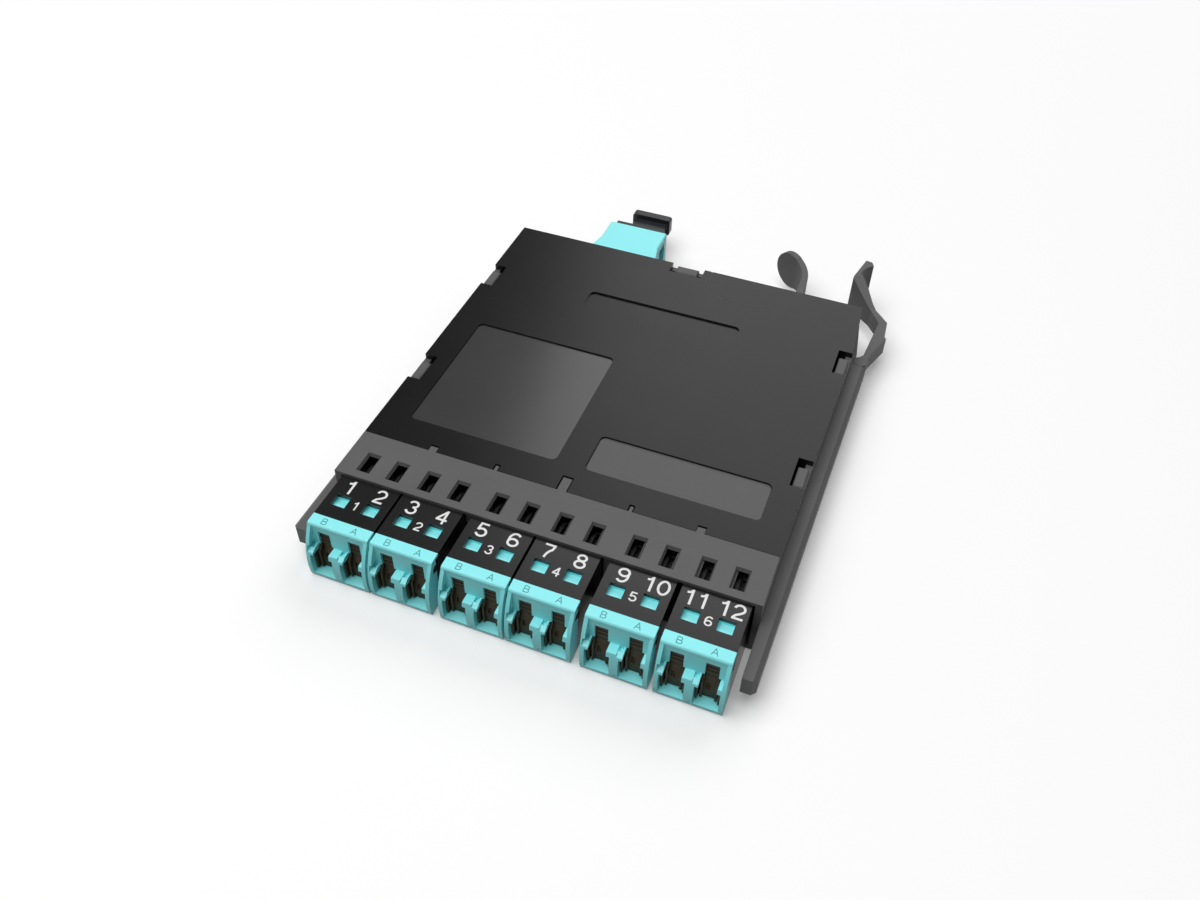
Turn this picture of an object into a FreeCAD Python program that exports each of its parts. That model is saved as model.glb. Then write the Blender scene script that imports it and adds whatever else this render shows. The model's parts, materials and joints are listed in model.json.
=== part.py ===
"""Twelve-fibre cassette: six shuttered duplex adapters in front, one multi-fibre adapter behind.

Millimetres, +Z up, +X to the right along the ports, +Y to the rear.
The origin is the middle of the flat underside of the shell.
"""
import FreeCAD
import Part
import math
import os

os.makedirs("parts", exist_ok=True)

# Shell: base tray, front strip and cover
side_room = 1.7
shell_length = 87.8
shell_height = 13.3
shell_swell = 1.05
swell_setback = 16.3
wall = 1.3
floor_thickness = 1.2
cover_thickness = 1.3
rim_width = 0.9
rim_depth = 0.9
strip_length = 11.3
strip_thickness = 0.72
front_floor = 0.72
seat_gap = 0.03
loose_gap = 0.15
cover_gap = 0.09

# Release slots in the strip, one above each inner connector
slot_width = 2.85
slot_length = 4.95
slot_setback = 1.6
slot_bevel = 0.35

# Snap tabs of the tray and the notches of the cover round them
side_notch_depth = 2.9
side_notch_length = 7.7
side_notch_starts = (28.7, 63.4)
side_tab_inset = 0.3
side_tab_gap = 0.5
side_tab_front_gap = 0.45
side_tab_rear_gap = 1.9
tab_depth = 3.2
tab_drop = 0.35
tab_bevel = 0.25
rear_notch_width = 7.8
rear_notch_depth = 3.4
rear_notch_x = 0.7
rear_tab_width = 5.2
rear_tab_gap = 0.8
front_tab_play = 0.25
outer_tab_play = 0.08
front_tab_tip_gap = 0.3
front_tab_places = (-27.2, -13.7, 0.0, 13.7, 27.2)
front_tab_widths = (1.6, 0.65, 1.8, 0.65, 1.6)
front_tab_reaches = (1.35, 1.35, 3.45, 1.35, 1.35)

# Shallow pockets of the cover
pocket_depth = 0.4
pocket_corner = 1.2
label_pocket = (-35.7, -4.0, 18.0, 50.2)
plate_pocket = (1.9, 36.6, 18.0, 27.7)
hint_pocket = (-17.1, 18.1, 64.6, 70.3)
arc_center_x = 16.6
arc_radius = 10.4
arc_line = 0.3
arc_depth = 0.12

# Duplex adapters
port_pitch = 6.25
pair_gap = 0.5
group_gap = 1.75
end_gap = 1.0
outer_slot_inset = 0.3
housing_reach = 9.95
housing_tail = 10.0
housing_side = 0.5
housing_roof = 0.83
housing_floor = 0.45
housing_shelf = 0.7
window_width = 2.9
window_length = 2.7
window_setback = 4.4
web_front = 2.4
web_rear = 4.6

# Shutter body, the front part of each adapter
lintel_depth = 2.55
lip_swell = 2.0
belly_swell = 2.25
nose_radius = 0.6
brow_step = 0.3
brow_drop = 0.6
plate_thickness = 0.6
tongue_depth = 1.1
tongue_drop = 0.65
tongue_thickness = 0.3
hook_width = 0.8
hook_wall = 0.35
hook_length = 1.0
hook_depth = 0.7
hook_slope = 1.1
corner_notch = 0.4
cheek = 0.75
port_floor = 0.9
port_width = 4.6
port_height = 5.1
ledge_width = 3.3
ledge_height = 1.15
latch_slot_width = 2.44
latch_slot_height = 3.4
recess_top = 0.6
middle_wall = 1.35

# Shutter doors
door_play = 0.1
door_lift = 0.25
door_thickness = 0.8
barrel_radius = 0.5
pivot_radius = 0.4
pivot_play = 0.05
pivot_web = 0.4
pivot_height = 9.75
hub_radius = 0.75
hub_gap = 0.3
flange_width = 0.35
flange_depth = 0.3
flange_slope = 0.2
column_width = 0.4
column_depth = 0.25
column_slope = 0.2
face_depth = 0.2
eye_width = 0.5
eye_length = 1.3
eye_height = 4.0
eye_depth = 0.5
eye_shift = 0.35
bar_rises = (0.25, 1.25)
bar_height = 0.4
bar_depth = 0.15

# Optical parts
ferrule_axis = 4.9
ferrule_radius = 0.625
ferrule_length = 5.6
sleeve_radius = 0.8
sleeve_bore = 0.64
sleeve_slit = 0.2
sleeve_stop = 0.3
plug_width = 4.5
plug_length = 12.0
plug_play = 0.12
fork_width = 2.2
fork_prong = 0.6
fork_thickness = 0.7
fork_rise = 2.1
fork_room = 0.6
boot_length = 6.0
boot_radius = 1.5
fibre_radius = 0.45
fibre_layer = 1.3
fibre_column = 2.2
fanout_length = 6.0
fanout_height = 4.4
fanout_gap = 2.0
trunk_radius = 1.5

# Multi-fibre adapter and its dust cap
mtp_x = -16.4
mtp_width = 14.7
mtp_height = 10.7
mtp_reach = 12.5
mtp_flange_width = 16.8
mtp_flange = 5.3
mtp_collar = 1.7
mtp_scoop = 0.9
mtp_inner_width = 13.6
mtp_inner_height = 9.4
mtp_inner_reach = 8.8
mtp_bore_width = 10.6
mtp_bore_height = 7.2
mtp_web = 1.5
mtp_web_front = 3.0
ferrule_block = (6.4, 2.5, 8.0)
pin_radius = 0.35
pin_spacing = 4.6
pin_reach = 2.4
mtp_plug_length = 19.0
cap_plug_length = 5.6
cap_plug_play = 0.15
cap_wall = 0.8
cap_collar_width = 12.3
cap_collar_height = 9.6
cap_collar = 1.7
neck_width = 8.4
neck_height = 1.7
neck_length = 8.2
grip_width = 10.0
grip_height = 4.5
grip_end = 2.0
grip_corner = 0.7

# Guide rails, finger paddle and release lever
rail_bottom = 3.9
rail_height = 4.1
rail_width = 2.71
rail_flare = 1.6
left_rail_width = 3.15
rail_reach = 11.4
rail_chamfer = 0.8
rail_sink = 0.4
left_rail_setback = 15.8
lever_setback = 12.3
lever_pivot_radius = 1.5
lever_split = 0.08
lever_lap = 0.75
leg_width = 1.6
leg_front_setback = 13.8
leg_rear_setback = 10.4
leg_run = 2.0
paddle_radius = 4.65
paddle_thickness = 1.5
paddle_x = 22.3
paddle_reach = 17.2
paddle_angle = 55.0
paddle_stem = 4.8
paddle_root_x = 26.5

# Lever outline seen from above, from the rail's outer edge and the middle of the knuckle
lever_catch = ((-0.4, 0.7), (0.1, 3.1), (2.4, 9.9), (1.95, 10.5))
lever_bend = ((1.6, 15.8), (-2.85, 20.8), (-4.75, 23.6))
thumb_face = ((-7.25, 26.7), (-6.75, 29.0), (-5.05, 31.0))
thumb_end = ((-5.65, 32.3), (-7.15, 32.6))
lever_inside = ((-8.75, 25.0), (-2.75, 19.0), (-0.25, 15.0), (-1.3, 2.4), (-2.4, 0.85))
thumb_start = 19.5
thumb_ramp = 6.0
thumb_rise = 4.0
thumb_drop = 1.0

# Worked out from the sizes above
adapter_gaps = (pair_gap, group_gap, pair_gap, group_gap, end_gap)
adapter_width = 2 * port_pitch
row_width = 6 * adapter_width + sum(adapter_gaps)
half_width = row_width / 2 + side_room
front = -shell_length / 2
back = shell_length / 2
cover_floor = shell_height - cover_thickness
strip_floor = shell_height - strip_thickness
adapter_top = strip_floor - seat_gap
mid_height = shell_height / 2
cavity_top = adapter_top - housing_roof - seat_gap
inner_half = half_width - wall
strip_end = front + strip_length
widest = back - swell_setback
lintel_reach = housing_reach + lintel_depth
lip_reach = lintel_reach + lip_swell
belly_reach = lintel_reach + belly_swell
rail_edge = half_width + rail_width + rail_flare
lever_x = rail_edge - lever_pivot_radius
lever_y = back - lever_setback


def vec(x, y, z):
    return FreeCAD.Vector(x, y, z)


def box(x0, x1, y0, y1, z0, z1):
    """Block between two corners."""
    return Part.makeBox(x1 - x0, y1 - y0, z1 - z0, vec(x0, y0, z0))


def wire_of(points):
    """Closed wire through points; a pair of points ("via", end) makes an arc."""
    edges = []
    start = points[0]
    for item in points[1:] + [points[0]]:
        if isinstance(item, tuple):
            edges.append(Part.Arc(start, item[0], item[1]).toShape())
            start = item[1]
        else:
            edges.append(Part.LineSegment(start, item).toShape())
            start = item
    return Part.Wire(edges)


def lift(points, direction):
    """Solid that a flat outline sweeps along a direction."""
    return Part.Face(wire_of(points)).extrude(direction)


def side_prism(outline, x0, x1):
    """Outline of (y, z) points, and of (via, end) arcs, swept along X."""
    def place(item):
        if isinstance(item[0], tuple):
            return tuple(vec(x0, p[0], p[1]) for p in item)
        return vec(x0, item[0], item[1])
    return lift([place(item) for item in outline], vec(x1 - x0, 0, 0))


def plan_prism(outline, z0, z1):
    """Outline of (x, y) points, and of (via, end) arcs, swept along Z."""
    def place(item):
        if isinstance(item[0], tuple):
            return tuple(vec(p[0], p[1], z0) for p in item)
        return vec(item[0], item[1], z0)
    return lift([place(item) for item in outline], vec(0, 0, z1 - z0))


def rounded_plate(x0, x1, y0, y1, z0, z1, radius):
    """Block with its four upright corners rounded."""
    block = box(x0, x1, y0, y1, z0, z1)
    upright = [e for e in block.Edges if abs(e.tangentAt(e.FirstParameter).z) > 0.9]
    return block.makeFillet(radius, upright)


def rod(base, direction, radius, length):
    return Part.makeCylinder(radius, length, base, direction)


def mirror_x(shape):
    return shape.mirror(vec(0, 0, 0), vec(1, 0, 0))


def join(shapes):
    first = shapes[0]
    if len(shapes) == 1:
        return first
    return first.fuse(shapes[1:]).removeSplitter()


def save(name, shape):
    shape.exportStep("parts/" + name + ".step")
    print(name, len(shape.Solids), "solid", round(shape.Volume, 2), "mm3", shape.isValid())


# Places of the adapters and ports across the front
adapter_centers = [-row_width / 2 + adapter_width / 2]
for gap in adapter_gaps:
    adapter_centers.append(adapter_centers[-1] + adapter_width + gap)
port_centers = []
for center in adapter_centers:
    port_centers += [center - port_pitch / 2, center + port_pitch / 2]


def swell(inset, y1, z0, z1):
    """Wedge that widens the shell's right side to its widest place, then narrows it to the corner."""
    edge = half_width - inset
    return plan_prism([(edge - 1, strip_end), (edge, strip_end), (edge + shell_swell, widest), (edge, y1),
                       (edge - 1, y1)], z0, z1)


def right_edge(y):
    """X of the shell's right side at one place along it."""
    if y <= widest:
        return half_width + shell_swell * max(0, (y - strip_end) / (widest - strip_end))
    return half_width + shell_swell * (back - y) / (back - widest)


def side_boxes(near, far, ahead, behind, z0, z1):
    """Blocks at the four side notches, between two distances inside the shell's edge."""
    boxes = []
    for start in side_notch_starts:
        y0 = front + start + ahead
        y1 = front + start + side_notch_length - behind
        edge = right_edge(front + start + side_notch_length / 2)
        boxes.append(box(edge - far, edge - near, y0, y1, z0, z1))
        boxes.append(box(-half_width + near, -half_width + far, y0, y1, z0, z1))
    return boxes


def cover_notches(z0, z1):
    """Side and rear notches of the cover."""
    half = rear_notch_width / 2
    rear = box(rear_notch_x - half, rear_notch_x + half, back - rear_notch_depth, back + 1, z0, z1)
    return side_boxes(-1, side_notch_depth, 0, 0, z0, z1) + [rear]


def snap_tabs(z0, z1):
    """Bevelled snap tabs of the tray, which stand in the cover's notches."""
    half = rear_tab_width / 2
    deep = side_notch_depth - side_tab_gap
    tabs = side_boxes(side_tab_inset, deep, side_tab_front_gap, side_tab_rear_gap, z0, z1)
    tabs.append(box(rear_notch_x - half, rear_notch_x + half, back - rear_notch_depth + rear_tab_gap,
                    back - loose_gap, z0, z1))
    bevelled = []
    for tab in tabs:
        rim = [e for e in tab.Edges if e.BoundBox.ZMin > z1 - 0.01 and e.BoundBox.ZLength < 0.01]
        bevelled.append(tab.makeChamfer(tab_bevel, rim))
    return bevelled


def front_tabs(notch, z0, z1):
    """Tongues of the strip, or with notch set to 1 the notches of the cover round them."""
    tabs = []
    for x, width, reach in zip(front_tab_places, front_tab_widths, front_tab_reaches):
        play = outer_tab_play if abs(x) == max(front_tab_places) else front_tab_play
        half = width / 2 + notch * play
        end = strip_end + reach + notch * front_tab_tip_gap
        tabs.append(box(x - half, x + half, strip_end - 0.5, end, z0, z1))
    return tabs


def bevelled_slot(x):
    """Through slot whose rim opens upwards on all four sides."""
    y0 = front + slot_setback
    half = slot_width / 2
    tool = box(x - half, x + half, y0, y0 + slot_length, 0, shell_height + 1)
    low = shell_height - strip_thickness

    def rim(inset, z):
        x0, x1 = x - half + inset, x + half - inset
        near, far = y0 + inset, y0 + slot_length - inset
        return Part.makePolygon([vec(x0, near, z), vec(x1, near, z), vec(x1, far, z), vec(x0, far, z),
                                 vec(x0, near, z)])

    funnel = Part.makeLoft([rim(slot_bevel, low), rim(0, shell_height)], True)
    neck = box(x - half + slot_bevel, x + half - slot_bevel, y0 + slot_bevel, y0 + slot_length - slot_bevel,
               low - 1, shell_height + 1)
    return funnel.fuse(neck).common(tool)


def rail(outer_front, outer_back, y0, y1):
    """Bar along the shell's right side with its upper outer edge bevelled and its nose drawn in."""
    z0 = rail_bottom
    z1 = rail_bottom + rail_height
    inner = half_width - rail_sink
    nose = (outer_front - half_width) * 0.3
    plan = [(half_width, y0), (outer_front - nose, y0), (outer_front, y0 + nose), (outer_back, y1),
            (inner, y1), (inner, front), (half_width, front)]
    bar = plan_prism(plan, z0, z1)
    slope = (outer_back - outer_front) / (y1 - y0)
    cut = [vec(outer_front - rail_chamfer, y0 - 1, z1), vec(outer_front + 5, y0 - 1, z1),
           vec(outer_front + 5, y0 - 1, z1 - rail_chamfer - 5), vec(outer_front, y0 - 1, z1 - rail_chamfer)]
    run = y1 - y0 + 2
    return bar.cut(lift(cut, vec(slope * run, run, 0)))


def paddle():
    """Finger paddle: a round tab on a stem that bends sideways out of the rear wall."""
    turn = math.radians(paddle_angle)
    ahead = (-math.sin(turn), math.cos(turn))
    half = paddle_thickness / 2
    center = (paddle_x, back + paddle_reach)
    bend_x = paddle_root_x - center[0]
    bend_radius = bend_x * 0.75 / (1 - math.cos(turn))
    bend_y = center[1] - (bend_x - bend_radius * (1 - math.cos(turn))) / math.tan(turn)
    bend_y -= bend_radius * math.sin(turn)
    hub = (paddle_root_x - bend_radius, bend_y)

    def on_bend(angle, radius):
        return (hub[0] + radius * math.cos(angle), hub[1] + radius * math.sin(angle))

    tip = (center[0] + ahead[0] * (paddle_radius + 1), center[1] + ahead[1] * (paddle_radius + 1))
    side = (math.cos(turn) * half, math.sin(turn) * half)
    outer_radius = bend_radius + half
    inner_radius = bend_radius - half
    ribbon = plan_prism([
        (paddle_root_x + half, back - wall / 2), (paddle_root_x + half, bend_y),
        (on_bend(turn / 2, outer_radius), on_bend(turn, outer_radius)),
        (tip[0] + side[0], tip[1] + side[1]), (tip[0] - side[0], tip[1] - side[1]),
        on_bend(turn, inner_radius), (on_bend(turn / 2, inner_radius), on_bend(0, inner_radius)),
        (paddle_root_x - half, back - wall / 2)], 0, shell_height)
    reach = paddle_reach + 2 * paddle_radius
    normal = vec(-math.cos(turn), -math.sin(turn), 0)
    origin = vec(center[0], center[1], mid_height) - normal * reach
    along = vec(ahead[0], ahead[1], 0)

    def spot(s, z):
        return origin + along * s + vec(0, 0, z)

    lean = math.radians(62)
    tangent = (-paddle_radius * math.cos(lean), paddle_radius * math.sin(lean))
    stem = paddle_stem / 2
    neck = -paddle_radius * 1.9
    outline = [spot(tangent[0], tangent[1]), (spot(paddle_radius, 0), spot(tangent[0], -tangent[1])),
               spot(neck, -stem), spot(-reach, -stem), spot(-reach, stem), spot(neck, stem)]
    return ribbon.common(lift(outline, normal * (2 * reach)))


def base_shell():
    """Tray with side walls, front strip, snap tabs, rails, fibre guides and paddle."""
    top = cover_floor - seat_gap
    tray = box(-half_width, half_width, front, back, 0, top).fuse(swell(0, back, 0, top))
    hollow = box(-inner_half, inner_half, front - 1, back - wall, floor_thickness, shell_height)
    tray = tray.cut(hollow.fuse(swell(wall, back - wall, floor_thickness, shell_height)))
    pocket_end = front + housing_tail + seat_gap
    tray = tray.cut(box(-inner_half, inner_half, front - 1, pocket_end, front_floor, shell_height))
    sill = box(-inner_half - 0.1, inner_half + 0.1, pocket_end, strip_end + 0.9, 0, top)
    strip = box(-half_width, half_width, front, strip_end, strip_floor, shell_height)
    bridge = [box(x0, x1, front, strip_end, cover_floor - 0.1, strip_floor + 0.1)
              for x0, x1 in ((-half_width, -inner_half), (inner_half, half_width))]
    sill_top = box(-half_width, half_width, pocket_end, strip_end, cover_floor - 0.1, strip_floor + 0.1)
    solids = [tray, sill, strip, sill_top] + bridge
    rib_half = (group_gap - 2 * loose_gap) / 2
    for index in (1, 3):
        x = (adapter_centers[index] + adapter_centers[index + 1]) / 2
        solids.append(box(x - rib_half, x + rib_half, front + 0.6, pocket_end + 0.1, 0.1,
                          strip_floor + 0.1))
    solids += front_tabs(0, cover_floor + 0.1, shell_height - loose_gap)
    solids += snap_tabs(cover_floor - tab_depth, shell_height - tab_drop)
    solids.append(paddle())
    nose = front - rail_reach
    solids.append(rail(half_width + rail_width, rail_edge, nose, lever_y - lever_lap))
    left_edge = half_width + left_rail_width
    solids.append(mirror_x(rail(left_edge, left_edge, nose, back - left_rail_setback)))
    sunk = half_width - rail_sink
    shoulder = half_width + leg_width
    leg_front = back - leg_front_setback
    leg = [(sunk, leg_front - leg_run), (shoulder, leg_front), (shoulder, back - leg_rear_setback),
           (half_width + loose_gap, back), (sunk, back)]
    solids.append(plan_prism(leg, rail_bottom, rail_bottom + rail_height))
    body = join(solids)
    for x in port_centers:
        half = plug_width / 2 + plug_play + 0.2
        top = ferrule_axis + plug_width / 2 + fork_rise + fork_thickness + fork_room
        body = body.cut(box(x - half, x + half, front + 1, strip_end + 2, ferrule_axis - half, top))
    for x in slot_centers:
        body = body.cut(bevelled_slot(x))
    half = mtp_inner_width / 2 + seat_gap
    tall = mtp_inner_height / 2 + seat_gap
    body = body.cut(box(mtp_x - half, mtp_x + half, back - 2 * wall, back + 1,
                        mid_height - tall, mid_height + tall))
    body = body.cut(rod(vec(lever_x, lever_y, rail_bottom - 1), vec(0, 0, 1),
                        lever_pivot_radius + lever_split, rail_height + 2))
    guides = [saddle(mtp_x, mtp_plug_front - mtp_plug_length - fanout_gap / 2, trunk_radius, mid_height),
              fanout_cradle()]
    return join([body] + guides)


def saddle(x, y, radius, height):
    """Small post with a round notch that the trunk lies in."""
    half = fanout_gap / 2 - loose_gap
    post = box(x - radius - 1.2, x + radius + 1.2, y - half, y + half, floor_thickness - 0.1, height)
    return post.cut(rod(vec(x, y - 2, height), vec(0, 1, 0), radius + 0.05, 4))


def fanout_cradle():
    """Two low walls that hold the fan-out block sideways."""
    half = fanout_width / 2 + 0.05
    y0, y1 = fanout_front, fanout_front + fanout_length
    top = mid_height
    left = box(mtp_x - half - 1, mtp_x - half, y0, y1, floor_thickness - 0.1, top)
    right = box(mtp_x + half, mtp_x + half + 1, y0, y1, floor_thickness - 0.1, top)
    rest = box(mtp_x - half - 1, mtp_x + half + 1, y0 + 0.5, y1 - 0.5, floor_thickness - 0.1,
               mid_height - fanout_height / 2)
    return join([left, right, rest])


def release_lever():
    """Rear lever: round knuckle, wedge catch, cranked arm, and a hollow thumb plate that stands higher."""
    z0 = rail_bottom
    z1 = rail_bottom + rail_height

    def place(points):
        return [(rail_edge + x, lever_y + y) for x, y in points]

    lip, via, tip = place(thumb_face)
    plan = place(lever_catch + lever_bend) + [lip, (via, tip)] + place(thumb_end + lever_inside)
    rise = lever_y + thumb_start
    end = rise + 3 * thumb_ramp
    side = [(lever_y - 3, z0), (rise - thumb_rise, z0), (rise + 0.75 * thumb_ramp, z0 - thumb_drop),
            (end, z0 - thumb_drop), (end, z1 + thumb_rise), (rise + thumb_ramp, z1 + thumb_rise),
            (rise, z1), (lever_y - 3, z1)]
    plate = plan_prism(plan, z0 - 2 * thumb_drop, z1 + 2 * thumb_rise)
    plate = plate.common(side_prism(side, rail_edge - 20, rail_edge + 20))
    knuckle = rod(vec(lever_x, lever_y, z0), vec(0, 0, 1), lever_pivot_radius, rail_height)
    return join([plate, knuckle])


def top_cover():
    """Flat lid with notches, two flat pockets, a sloping one, a faint arc and a locating rim."""
    plate = box(-half_width, half_width, strip_end, back, cover_floor, shell_height)
    plate = plate.fuse(swell(0, back, cover_floor, shell_height))
    plate = plate.cut(box(-half_width - 1, half_width + 1, front, strip_end + cover_gap, 0,
                          shell_height + 1))
    rim_out = inner_half - loose_gap
    rim_in = rim_out - rim_width
    y0 = strip_end + 1.2
    y1 = back - wall - loose_gap
    low = cover_floor - rim_depth
    rim = box(-rim_out, rim_out, y0, y1, low, cover_floor + 0.1)
    rim = rim.fuse(swell(half_width - rim_out, y1, low, cover_floor + 0.1))
    hollow = box(-rim_in, rim_in, y0 + rim_width, y1 - rim_width, 0, shell_height)
    rim = rim.cut(hollow.fuse(swell(half_width - rim_in, y1 - rim_width, 0, shell_height)))
    rim = rim.cut(box(-half_width, half_width, front, y0, 0, shell_height))
    relief = mtp_inner_width / 2 + 2 * loose_gap
    rim = rim.cut(box(mtp_x - relief, mtp_x + relief, y1 - 2, y1 + 1, 0, cover_floor))
    lid = plate.fuse(rim)
    deep = cover_floor - 2
    high = shell_height + 1
    for notch in cover_notches(deep, high) + front_tabs(1, deep, high):
        lid = lid.cut(notch)
    low = shell_height - pocket_depth
    for x0, x1, a, b in (label_pocket, plate_pocket):
        lid = lid.cut(rounded_plate(x0, x1, front + a, front + b, low, shell_height + 1, pocket_corner))
    x0, x1, a, b = hint_pocket
    ramp = side_prism([(front + a, shell_height), (front + b, low), (front + b, shell_height + 1),
                       (front + a, shell_height + 1)], x0, x1)
    upright = [e for e in ramp.Edges if abs(e.tangentAt(e.FirstParameter).z) > 0.9]
    rear = [e for e in upright if e.BoundBox.YMin > front + b - 0.1]
    lid = lid.cut(ramp.makeFillet(pocket_corner, rear))
    ring = rod(vec(arc_center_x, back, shell_height - arc_depth), vec(0, 0, 1), arc_radius, 1)
    ring = ring.cut(rod(vec(arc_center_x, back, 0), vec(0, 0, 1), arc_radius - arc_line, 2 * shell_height))
    return lid.cut(ring).removeSplitter()


def housing(center):
    """Black rear half of a duplex adapter: sleeve over the shutter body, web, and inner ports."""
    half = adapter_width / 2
    y0 = front - housing_reach
    y1 = front + housing_tail
    web0 = front - web_front
    web1 = front + web_rear
    outside = box(center - half, center + half, y0, front - seat_gap, 0, adapter_top)
    inside = box(center - half, center + half, front - 1, y1, front_floor + seat_gap, adapter_top)
    tongues = [side_tongue(center, side, 0, 0) for side in (-1, 1)]
    shape = outside.fuse([inside] + tongues)
    cave = half - housing_side
    ceiling = adapter_top - housing_roof
    shape = shape.cut(box(center - cave, center + cave, y0 - 1, web0, housing_floor, ceiling))
    shape = shape.cut(box(center - cave, center + cave, web1, y1 + 1, front_floor + housing_shelf, ceiling))
    divider = (port_pitch - plug_width) / 2 - plug_play
    shape = shape.fuse(box(center - divider, center + divider, web1 - 0.1, y1, front_floor + 0.1,
                           ceiling + 0.1))
    for side in (-1, 1):
        x = center + side * port_pitch / 2
        w = window_width / 2
        y = front - window_setback
        shape = shape.cut(box(x - w, x + w, y - window_length, y, ceiling - 1, adapter_top + 1))
        s = slot_width / 2 - slot_bevel + 0.05
        low = ferrule_axis + plug_width / 2 + 0.1
        a = front + slot_setback + slot_bevel - 0.05
        shape = shape.cut(box(x - s, x + s, a, a + slot_length, low, adapter_top + 1))
        shape = shape.cut(rod(vec(x, web0 + sleeve_stop, ferrule_axis), vec(0, 1, 0),
                              sleeve_radius + seat_gap, web1 - web0))
        shape = shape.cut(rod(vec(x, web0 - 1, ferrule_axis), vec(0, 1, 0), sleeve_bore, 3))
    return shape.removeSplitter()


def side_tongue(center, side, depth, gap):
    """Thin forward end of the housing's side wall with a round bite for the door's hub, or its recess."""
    half = adapter_width / 2
    xs = sorted((center + side * (half - tongue_thickness - depth), center + side * (half + depth)))
    root = front - housing_reach
    tongue = box(xs[0], xs[1], root - tongue_depth - gap, root + 0.1, -gap, adapter_top - tongue_drop + gap)
    bite = rod(vec(xs[0] - 1, pivot_y, pivot_height), vec(1, 0, 0), hub_radius + hub_gap, xs[1] - xs[0] + 2)
    if gap == 0:
        return tongue.cut(bite)
    return tongue.fuse(bite)


def front_profile():
    """Side outline of the shutter body: flat lintel, rounded nose, belly and lip."""
    top = adapter_top
    y = front
    nose = nose_radius * math.sqrt(0.5)
    return [(y - housing_reach - seat_gap, 0), (y - housing_reach - seat_gap, top),
            (y - lintel_reach + nose_radius, top),
            ((y - lintel_reach + nose_radius - nose, top - nose_radius + nose),
             (y - lintel_reach, top - nose_radius)),
            (y - lintel_reach - brow_step, top - nose_radius - brow_drop),
            ((y - belly_reach, top * 0.42), (y - lip_reach, 0))]


def shutter_body(center):
    """Aqua front half of an adapter: cheeks, lintel, slotted plate, ledged ports and an inner frame."""
    half = adapter_width / 2
    shape = side_prism(front_profile(), center - half, center + half)
    y_out = front - lip_reach - 2
    plate_back = front - lintel_reach + plate_thickness
    ledge_top = port_floor + port_height + ledge_height
    shape = shape.cut(box(center - half + cheek, center + half - cheek, y_out, front - lintel_reach + 0.1,
                          ledge_top, adapter_top - recess_top))
    frame_top = cavity_top - 0.8
    inner = half - housing_side - seat_gap
    roof = box(center - inner, center + inner, front - housing_reach - 0.5, front - web_front - seat_gap,
               frame_top, cavity_top)
    base = box(center - inner, center + inner, front - housing_reach - 0.5, front - web_front - seat_gap,
               housing_floor + seat_gap, port_floor)
    middle = middle_wall / 2
    spine = box(center - middle, center + middle, front - housing_reach - 0.5, front - web_front - seat_gap,
                port_floor - 0.1, frame_top + 0.1)
    shape = shape.fuse([roof, base, spine])
    for side in (-1, 1):
        x = center + side * port_pitch / 2
        bay = door_width / 2 + door_play
        shape = shape.cut(box(x - bay, x + bay, plate_back, front - housing_reach + 0.1,
                              port_floor, frame_top))
        for width, top in ((port_width, port_floor + port_height), (ledge_width, ledge_top),
                           (latch_slot_width, ledge_top + latch_slot_height)):
            w = width / 2
            shape = shape.cut(box(x - w, x + w, y_out, plate_back + 0.1, port_floor, top))
        shape = shape.cut(hook_relief(x, ledge_top))
        shape = shape.cut(side_tongue(center, side, pivot_play, seat_gap))
        start = x + side * (bay + 1)
        pin = rod(vec(start - side * (2 * bay + 1 + pivot_seat), pivot_y, pivot_height), vec(side, 0, 0),
                  pivot_radius + pivot_play, 2 * bay + 1 + pivot_seat + 3)
        shape = shape.cut(pin)
        w = window_width / 2
        y = front - window_setback
        ramp = side_prism([(y - window_length, cavity_top), (y - window_length, cavity_top + 1),
                           (y, cavity_top + 1), (y, cavity_top - 0.55)], x - w, x + w)
        shape = shape.cut(ramp)
    return shape.removeSplitter()


def hook_relief(x, top):
    """Pocket and slope that shape the hook on a port's left side, and a nick at its foot."""
    y = front - lintel_reach
    right = x - ledge_width / 2 - hook_wall
    pocket = box(right - hook_width, right, y - hook_length, y + 0.05, top - hook_depth, top + 1)
    face = front - lip_reach - 1
    end = y - hook_length
    low = top - hook_slope * (end - face) / lip_swell
    slope = side_prism([(end, top), (face, low), (face, top + 1), (end, top + 1)],
                       right - hook_width, x - ledge_width / 2 + 0.1)
    foot = x - port_width / 2 - corner_notch
    nick = box(foot - corner_notch, foot, front - belly_reach - 1, front - lip_reach + corner_notch,
               port_floor, port_floor + corner_notch)
    return pocket.fuse([slope, nick])


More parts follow.
